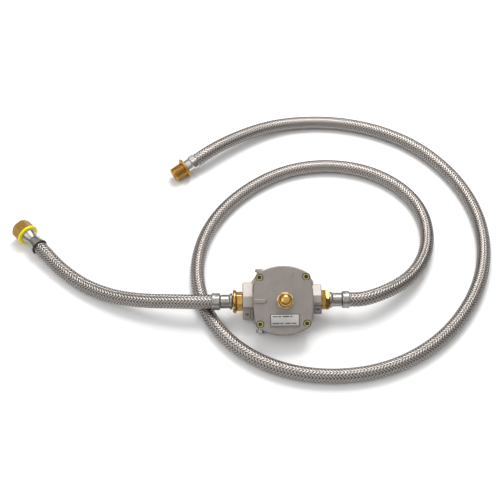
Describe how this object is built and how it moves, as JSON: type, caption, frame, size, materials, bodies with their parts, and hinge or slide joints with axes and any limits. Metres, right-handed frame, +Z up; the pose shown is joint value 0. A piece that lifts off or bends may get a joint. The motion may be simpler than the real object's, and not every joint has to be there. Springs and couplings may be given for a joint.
{
  "type": "gas regulator hose",
  "caption": "Low-pressure gas regulator with a bolted cast cover and brass spring cap, a short braided hose ending in a swivel nut and a long braided hose ending in a pipe thread.",
  "frame": {"origin": "on the surface the part lies on, straight below the port axis at the middle of the cover, on the sloping front face of the cast body", "axes": "+X along the two ports from the short hose's side to the long hose's side, +Y away from the cover's lower edge, +Z up"},
  "size_m": [0.6673, 0.4634, 0.0778],
  "materials": {
    "cast_aluminium": "fine sand-cast grain",
    "machined_aluminium": "machined",
    "plate_foil": "satin foil",
    "brass": "machined",
    "nickel": "bright nickel plate",
    "zinc_yellow": "yellow zinc plate",
    "spring_steel": "drawn wire",
    "stainless_braid": "stainless steel wire braid over a rubber hose",
    "yellow_plastic": "moulded",
    "rubber": "matt",
    "nylon": "moulded"
  },
  "bodies": {
    "regulator": {"regulator_body": "cast_aluminium", "regulator_cover": "cast_aluminium", "cover_screw_1": "zinc_yellow", "cover_screw_2": "zinc_yellow", "cover_screw_3": "zinc_yellow", "cover_screw_4": "zinc_yellow", "tap_plug_front": "nickel", "tap_plug_rear": "nickel", "rating_plate": "plate_foil", "diaphragm": "rubber", "control_spring": "spring_steel", "lever_bracket": "nickel", "lever_pin": "spring_steel", "valve_seat": "brass", "inlet_bushing": "brass", "inlet_hose_tail": "nickel", "inlet_ferrule": "nickel", "short_hose": "stainless_braid", "short_end_ferrule": "nickel", "short_end_tail": "nickel", "sealing_washer": "nylon", "outlet_bushing": "brass", "outlet_hose_tail": "nickel", "outlet_ferrule": "nickel", "long_hose": "stainless_braid", "long_end_ferrule": "nickel", "end_nipple": "brass"},
    "diaphragm_stack": {"diaphragm_plate_upper": "machined_aluminium", "diaphragm_plate_lower": "machined_aluminium", "diaphragm_stem": "brass"},
    "lever": {"valve_lever": "nickel"},
    "valve": {"valve_holder": "brass", "valve_pad": "rubber"},
    "gasket": {"cap_gasket": "nylon"},
    "cap": {"spring_cap": "brass"},
    "spring_seat": {"spring_seat": "machined_aluminium"},
    "adjuster": {"adjuster_screw": "brass"},
    "swivel": {"swivel_nut": "brass", "gas_ring": "yellow_plastic"},
    "union": {"union_nut": "brass"}
  },
  "joints": [
    {"name": "diaphragm_stroke", "type": "slide", "parent": "regulator", "child": "diaphragm_stack", "axis": [0, -0.5592, 0.829], "range_m": [0, 0.002], "deforming": ["diaphragm", "control_spring"]},
    {"name": "lever_swing", "type": "hinge", "parent": "regulator", "child": "lever", "pos_m": [-0.0125, 0.00503, 0.02204], "axis": [0, -0.829, -0.5592], "range_deg": [0, 7.65]},
    {"name": "valve_travel", "type": "slide", "parent": "regulator", "child": "valve", "axis": [-1, 0, 0], "range_m": [0, 0.0012]},
    {"name": "cap_lift", "type": "slide", "parent": "regulator", "child": "gasket", "axis": [0, -0.5592, 0.829], "range_m": [0, 0.006]},
    {"name": "cap_turn", "type": "hinge", "parent": "gasket", "child": "cap", "pos_m": [0.0025, 0, 0.0295], "axis": [0, -0.5592, 0.829], "range_deg": [0, 1800]},
    {"name": "adjuster_travel", "type": "slide", "parent": "regulator", "child": "spring_seat", "axis": [0, -0.5592, 0.829], "range_m": [-0.0015, 0.0015], "deforming": ["control_spring"]},
    {"name": "adjuster_turn", "type": "hinge", "parent": "spring_seat", "child": "adjuster", "pos_m": [0.0025, 0, 0.0295], "axis": [0, -0.5592, 0.829], "range_deg": [-360, 360]},
    {"name": "swivel_nut_turn", "type": "hinge", "parent": "regulator", "child": "swivel", "pos_m": [-0.3328, 0.106, 0.0142], "axis": [-0.673, 0.7374, 0.0573], "continuous": true},
    {"name": "union_nut_turn", "type": "hinge", "parent": "regulator", "child": "union", "pos_m": [0.058, 0, 0.0295], "axis": [1, 0, 0], "continuous": true}
  ],
  "couplings": [
    {"joint": "lever_swing", "follows": "diaphragm_stroke", "rad_per_m": 66.667},
    {"joint": "valve_travel", "follows": "diaphragm_stroke", "ratio": 0.6},
    {"joint": "cap_turn", "follows": "cap_lift", "rad_per_m": 5236},
    {"joint": "adjuster_turn", "follows": "adjuster_travel", "rad_per_m": 4188.8}
  ]
}
